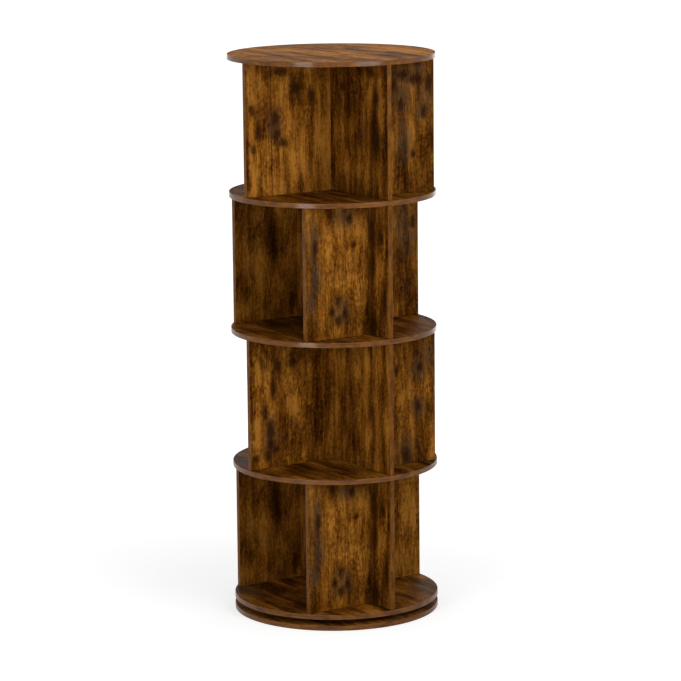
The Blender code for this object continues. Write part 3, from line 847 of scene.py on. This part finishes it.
def cast_zinc():
    material, tree, shader = new_material("die_cast_zinc", 0.45, metallic=1.0)
    place = add_node(tree, "TexCoord", out="Object")
    size = {"Scale": 1 / (3.8 * MM), "Detail": 3, "Roughness": 0.6}
    cloud = add_node(tree, "TexNoise", {"Vector": place, **size})
    clouded(tree, shader, cloud, [(0.35, "8B8D90"), (0.65, "ACAEB0")], smooth=0.36, dull=0.56)
    # The skin's grit is below 0.1 mm. It is drawn at 0.3 mm, because a finer one doesn't show.
    sand = add_node(tree, "TexNoise", {"Vector": place, "Scale": 1 / (0.28 * MM), "Detail": 2})
    skin = add_node(tree, "Bump", {"Strength": 0.25, "Distance": 0.05 * MM, "Height": sand})
    tree.links.new(skin, shader.inputs["Normal"])
    return material


def cam_ring(x, radius):
    turns = [2 * math.pi * (i + 0.5) / CAM_SIDES for i in range(CAM_SIDES)]
    return [(x, radius * math.cos(turn), radius * math.sin(turn)) for turn in turns]


def cross_outline(length, width):
    """The outline of a screwdriver's cross: three corners of each quarter, turned on."""
    reach = length / 2
    half = width / 2
    corners = [Vector((reach, half)), Vector((half, half)), Vector((half, reach))]
    return [Matrix.Rotation(k * math.pi / 2, 2) @ corner for k in range(4) for corner in corners]


def cam_pattern(face, bolt, back):
    """One cam on its own axis, with its face at +X and its bolt's way in from +Y round to +Z."""
    shape = bmesh.new()
    stacked(
        shape,
        [
            cam_ring(back, CAM_RADIUS - CAM_CHAMFER),
            cam_ring(back + CAM_CHAMFER, CAM_RADIUS),
            cam_ring(face - CAM_CHAMFER, CAM_RADIUS),
            cam_ring(face, CAM_RADIUS - CAM_CHAMFER),
        ],
    )
    piece = piece_of("cam_pattern", shape, [cast_zinc()])
    way = bmesh.new()
    length = CAM_RADIUS + HEAD_BORE_RADIUS + OVERRUN
    bored(way, (bolt, length / 2 - HEAD_BORE_RADIUS, 0), DEEP, HEAD_BORE_RADIUS, length)
    carve(piece, way)
    reach = CAM_RADIUS + OVERRUN
    half = NECK_SLOT / 2
    carve(piece, cuboid((bolt, (reach - half) / 2, reach / 2), (NECK_SLOT, reach + half, reach)))
    cross = bmesh.new()
    points = cross_outline(CROSS_LENGTH, CROSS_WIDTH)
    stacked(cross, [[(x, *point) for point in points] for x in (face - CROSS_DEPTH, face + OVERRUN)])
    carve(piece, cross)
    return piece


def seat_copy(pattern, name, matrix, body, node):
    """Seats a copy of a pattern in place of a CAD node; a mirrored copy has its faces turned round."""
    shape = bmesh.new()
    shape.from_mesh(pattern.data)
    bmesh.ops.transform(shape, matrix=matrix, verts=shape.verts)
    if matrix.is_negative:
        bmesh.ops.reverse_faces(shape, faces=shape.faces)
    finish(piece_of(name, shape, list(pattern.data.materials)), body, node)


low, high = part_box("tier_2_cam_bottom_left")
pattern = cam_pattern((high.x - low.x) / 2, -(high.x + low.x) / 2, -(high.x - low.x) / 2)
for tier in range(1, TIERS + 1):
    side = bay_side(tier)
    for cam in CAMS:
        node = f"tier_{tier}_{cam}"
        middle = sum(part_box(node), Vector()) / 2
        inward = -1 if middle.y > 0 else 1
        endward = 1 if "top" in cam else -1
        place = Matrix.Translation(middle) @ Matrix.Diagonal((side, inward, endward, 1))
        seat_copy(pattern, node + "_casting", place, "tower", node)
bpy.data.objects.remove(pattern)


# Bolts and screws: turned steel with rolled threads, zinc plated bright with a faint cloudy bloom. The bolts
# reach from the discs into the cams: threaded single ones at both ends of the tower, and double-ended ones
# with a plain collar through the middle shelves. Countersunk screws hold the turntable's rings.

STEEL_SIDES = 24
BOLT_HEAD_RADIUS = 0.0027
BOLT_HEAD_HEIGHT = 0.003
BOLT_CHAMFER = 0.0005
BOLT_NECK_RADIUS = 0.0016
BOLT_NECK_LENGTH = 0.0048
BOLT_SHANK_RADIUS = 0.0025
BOLT_THREAD_RADIUS = 0.003
BOLT_THREAD_LENGTH = 0.0087
BOLT_PITCH = 0.0012
BOLT_CROSS = (0.0032, 0.0008, 0.0012)
COLLAR_LENGTH = 0.012
SCREW_HEAD_RADIUS = 0.004
SCREW_HEAD_HEIGHT = 0.0024
SCREW_SHANK_RADIUS = 0.002
SCREW_ROOT_RADIUS = 0.0015
SCREW_PLAIN_LENGTH = 0.007
SCREW_PITCH = 0.0014
SCREW_CROSS = (0.0044, 0.0009, 0.0013)
SCREW_TIP = 0.003
TIP_RADIUS = 0.0002
CREST_START_SHARE = 0.4
CREST_END_SHARE = 0.6


def plated_steel():
    material, tree, shader = new_material("zinc_plated_steel", 0.3, metallic=1.0)
    place = add_node(tree, "TexCoord", out="Object")
    size = {"Scale": 1 / (2.4 * MM), "Detail": 4, "Roughness": 0.6}
    bloom = add_node(tree, "TexNoise", {"Vector": place, **size})
    stops = [(0.32, "9EA2A6"), (0.5, "B4B8BA"), (0.68, "C2C3BC")]
    clouded(tree, shader, bloom, stops, smooth=0.2, dull=0.42)
    return material


def bolt_end(tip):
    """The outline of a bolt's free end, down from its tip to the shank."""
    under = tip - BOLT_HEAD_HEIGHT
    return [
        (BOLT_HEAD_RADIUS - BOLT_CHAMFER, tip),
        (BOLT_HEAD_RADIUS, tip - BOLT_CHAMFER),
        (BOLT_HEAD_RADIUS, under),
        (BOLT_NECK_RADIUS, under),
        (BOLT_NECK_RADIUS, under - BOLT_NECK_LENGTH),
        (BOLT_SHANK_RADIUS, under - BOLT_NECK_LENGTH),
    ]


def thread(top, foot, crest, root, pitch):
    """The outline of a thread, down from its top. Each turn is a groove of its own, because its lead is
    too slight to show."""
    turns = round((top - foot) / pitch)
    step = (top - foot) / turns
    outline = []
    for k in range(turns):
        start = top - k * step
        outline += [(root, start)]
        outline += [(crest, start - share * step) for share in (CREST_START_SHARE, CREST_END_SHARE)]
    return outline + [(root, foot)]


def turned_pattern(outline, cross=None):
    """A steel piece turned about Z from an outline, tip first. A screwdriver's cross has a length, a width
    and a depth."""
    turns = [2 * math.pi * (i + 0.5) / STEEL_SIDES for i in range(STEEL_SIDES)]
    shape = bmesh.new()
    rings = [[(r * math.cos(turn), r * math.sin(turn), z) for turn in turns] for r, z in outline]
    stacked(shape, rings[::-1])
    piece = piece_of("steel_pattern", shape, [steel])
    if cross:
        length, width, depth = cross
        tip = outline[0][1]
        cutter = bmesh.new()
        points = cross_outline(length, width)
        stacked(cutter, [[(*point, z) for point in points] for z in (tip - depth, tip + OVERRUN)])
        carve(piece, cutter)
    return piece


def seat_steel(pattern, node, head_down, body):
    turn = Matrix.Rotation(math.pi if head_down else 0, 4, "X")
    middle = sum(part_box(node), Vector()) / 2
    seat_copy(pattern, node + "_turned", Matrix.Translation(middle) @ turn, body, node)


steel = plated_steel()
low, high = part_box("bottom_shelf_bolt_front")
tip = (high.z - low.z) / 2
face = BOLT_THREAD_LENGTH - tip
into_disc = thread(face, -tip, BOLT_THREAD_RADIUS, BOLT_SHANK_RADIUS, BOLT_PITCH)
single = turned_pattern(bolt_end(tip) + into_disc, BOLT_CROSS)
low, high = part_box("shelf_1_bolt_front")
half_bolt = bolt_end((high.z - low.z) / 2)
half_bolt += [(BOLT_SHANK_RADIUS, COLLAR_LENGTH / 2), (BOLT_THREAD_RADIUS, COLLAR_LENGTH / 2)]
double = turned_pattern(half_bolt + [(radius, -z) for radius, z in reversed(half_bolt)])
for place in ("front", "back"):
    seat_steel(single, f"bottom_shelf_bolt_{place}", False, "tower")
    seat_steel(single, f"top_disc_bolt_{place}", True, "tower")
    for shelf in ("shelf_1", "shelf_2", "shelf_3"):
        seat_steel(double, f"{shelf}_bolt_{place}", False, "tower")

low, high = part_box("base_ring_screw_1")
tip = (high.z - low.z) / 2
plain_end = tip - SCREW_PLAIN_LENGTH
outline = [
    (SCREW_HEAD_RADIUS, tip),
    (SCREW_SHANK_RADIUS, tip - SCREW_HEAD_HEIGHT),
    (SCREW_SHANK_RADIUS, plain_end),
    *thread(plain_end, SCREW_TIP - tip, SCREW_SHANK_RADIUS, SCREW_ROOT_RADIUS, SCREW_PITCH),
    (TIP_RADIUS, -tip),
]
screw = turned_pattern(outline, SCREW_CROSS)
for i in range(1, SCREWS + 1):
    seat_steel(screw, f"base_ring_screw_{i}", False, "base")
    seat_steel(screw, f"tower_ring_screw_{i}", True, "tower")
for pattern in (single, double, screw):
    bpy.data.objects.remove(pattern)


# Turntable rings: two nested aluminium rings turned on a lathe, each with a groove for the balls and four
# countersunk holes for its screws. The cutting tool leaves fine rings round the axis, which stretch the shine
# across them.

RING_SIDES = 144
RING_CHAMFER = 0.0003
BASE_RING_BORE = 0.028
TOWER_RING_BORE = 0.0638
RACE_RADIUS = 0.062
BALL_RADIUS = 0.004
BALL_ROOM = 0.0003
SCREW_ROOM = 0.0003
SCREW_SUNK = 0.0003


def turned_aluminium():
    material, tree, shader = new_material("turned_aluminium", 0.34, metallic=1.0)
    place = add_node(tree, "TexCoord", out="Object")
    parts = add_node(tree, "SeparateXYZ", {0: place}, "Z")
    level = add_node(tree, "CombineXYZ", {0: parts.node.outputs["X"], 1: parts.node.outputs["Y"]})
    radius = add_node(tree, "VectorMath", {0: level}, "Value", operation="LENGTH")
    across = add_node(tree, "CombineXYZ", {0: radius, 1: parts})
    # A lathe's marks lie about 0.1 mm apart. They are drawn at 0.4 mm, because finer ones don't show.
    size = {"Scale": 1 / (0.38 * MM), "Detail": 3, "Roughness": 0.7}
    lines = add_node(tree, "TexNoise", {"Vector": across, **size})
    clouded(tree, shader, lines, [(0.3, "A4A6A8"), (0.7, "C6C8C9")], smooth=0.28, dull=0.46)
    cut = add_node(tree, "Bump", {"Strength": 0.3, "Distance": 0.03 * MM, "Height": lines})
    tree.links.new(cut, shader.inputs["Normal"])
    return material


def revolved(shape, outline, sides):
    """Adds a ring turned about Z from a closed outline of radius and height."""
    turns = [2 * math.pi * (i + 0.5) / sides for i in range(sides)]
    rows = []
    for r, z in outline:
        rows.append([shape.verts.new((r * math.cos(turn), r * math.sin(turn), z)) for turn in turns])
    for row, other in zip(rows, rows[1:] + rows[:1]):
        for i in range(sides):
            j = (i + 1) % sides
            shape.faces.new((row[i], row[j], other[j], other[i]))
    bmesh.ops.recalc_face_normals(shape, faces=shape.faces)


def ring_outline(race_side, far_side, low, high):
    """The outline of a ring with eased edges, and a V groove for the balls on its race side."""
    inward = math.copysign(1, far_side - race_side)
    groove = RACE_RADIUS + inward * (BALL_RADIUS + BALL_ROOM) * math.sqrt(2)
    mouth = abs(groove - race_side)
    race_eased = race_side + inward * RING_CHAMFER
    far_eased = far_side - inward * RING_CHAMFER
    return [
        (far_eased, high),
        (far_side, high - RING_CHAMFER),
        (far_side, low + RING_CHAMFER),
        (far_eased, low),
        (race_eased, low),
        (race_side, low + RING_CHAMFER),
        (race_side, race - mouth),
        (groove, race),
        (race_side, race + mouth),
        (race_side, high - RING_CHAMFER),
        (race_eased, high),
    ]


def make_ring(body, outline, head, up, through):
    """A body's ring, bored for its screws, whose heads lie at one height and face up or down."""
    node = f"turntable_{body}_ring"
    shape = bmesh.new()
    revolved(shape, outline, RING_SIDES)
    piece = piece_of(node + "_turned", shape, [aluminium])
    wide = SCREW_HEAD_RADIUS + SCREW_ROOM
    narrow = SCREW_SHANK_RADIUS + SCREW_ROOM
    sunk = [(wide, OVERRUN), (wide, 0), (narrow, -SCREW_HEAD_HEIGHT), (narrow, -through)]
    holes = bmesh.new()
    for i in range(1, SCREWS + 1):
        middle = sum(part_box(f"{body}_ring_screw_{i}"), Vector()) / 2
        rings = []
        for radius, z in sorted(sunk, key=lambda point: up * point[1]):
            centre = Vector((middle.x, middle.y, head + up * z))
            rings.append([centre + radius * way for way in round_the_axis(HOLE_SIDES)])
        stacked(holes, rings)
    carve(piece, holes)
    finish(piece, body, node)


aluminium = turned_aluminium()
low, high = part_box("turntable_ball_cage")
race = (low.z + high.z) / 2
low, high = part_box("turntable_base_ring")
outline = ring_outline(high.x, BASE_RING_BORE, low.z, high.z)
make_ring("base", outline, high.z - SCREW_SUNK, 1, high.z - low.z + OVERRUN)
low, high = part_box("turntable_tower_ring")
outline = ring_outline(TOWER_RING_BORE, high.x, low.z, high.z)
make_ring("tower", outline, low.z + SCREW_SUNK, -1, high.z - low.z + OVERRUN)


# Ball cage: a thin moulded nylon band, milky and faintly cloudy, between the rings. Its twelve windows space
# the balls of hardened steel, which are ground and lapped to a mirror with hair-fine wear. Band and balls
# roll along at half the tower's turn.

BAND_SIDES = 96
BAND_THICKNESS = 0.0012
BAND_HEIGHT = 0.010
BALLS = 12
WINDOW_RADIUS = 0.0042
BALL_SEGMENTS = 28


def moulded_nylon():
    material, tree, shader = new_material("moulded_white_nylon", 0.42, 1.53)
    place = add_node(tree, "TexCoord", out="Object")
    cloud = add_node(tree, "TexNoise", {"Vector": place, "Scale": 1 / (11 * MM), "Detail": 3})
    colour = add_node(tree, "ValToRGB", {"Fac": cloud}, "Color", stops=[(0.35, "CDC9BC"), (0.65, "E0DDD2")])
    tree.links.new(colour, shader.inputs["Base Color"])
    skin = add_node(tree, "TexNoise", {"Vector": place, "Scale": 1 / (0.55 * MM), "Detail": 2})
    matt = add_node(tree, "Bump", {"Strength": 0.15, "Distance": 0.05 * MM, "Height": skin})
    tree.links.new(matt, shader.inputs["Normal"])
    return material


def ball_steel():
    material, tree, shader = new_material("hardened_ball_steel", 0.12, metallic=1.0)
    place = add_node(tree, "TexCoord", out="Object")
    # Lapped steel is worn in hairs that wouldn't show, so the wear is drawn as clouds of a millimetre.
    size = {"Scale": 1 / (1.4 * MM), "Detail": 5, "Roughness": 0.7}
    wear = add_node(tree, "TexNoise", {"Vector": place, **size})
    clouded(tree, shader, wear, [(0.35, "AEB0B3"), (0.65, "C8CACC")], smooth=0.06, dull=0.2)
    return material


ways = round_the_axis(BALLS)
inner = RACE_RADIUS - BAND_THICKNESS / 2
outer = RACE_RADIUS + BAND_THICKNESS / 2
foot = race - BAND_HEIGHT / 2
head = race + BAND_HEIGHT / 2
shape = bmesh.new()
revolved(shape, [(inner, foot), (outer, foot), (outer, head), (inner, head)], BAND_SIDES)
band = piece_of("ball_cage_band", shape, [moulded_nylon()])
windows = bmesh.new()
for way in ways:
    bored(windows, RACE_RADIUS * way + Vector((0, 0, race)), way, WINDOW_RADIUS, 4 * BAND_THICKNESS)
carve(band, windows)
finish(band, "ball_cage", "turntable_ball_cage")

shape = bmesh.new()
for way in ways:
    bmesh.ops.create_uvsphere(
        shape,
        u_segments=BALL_SEGMENTS,
        v_segments=BALL_SEGMENTS // 2,
        radius=BALL_RADIUS,
        matrix=Matrix.Translation(RACE_RADIUS * way + Vector((0, 0, race))),
    )
balls = piece_of("race_balls", shape, [ball_steel()])
finish(balls, "ball_cage", "turntable_ball_cage")
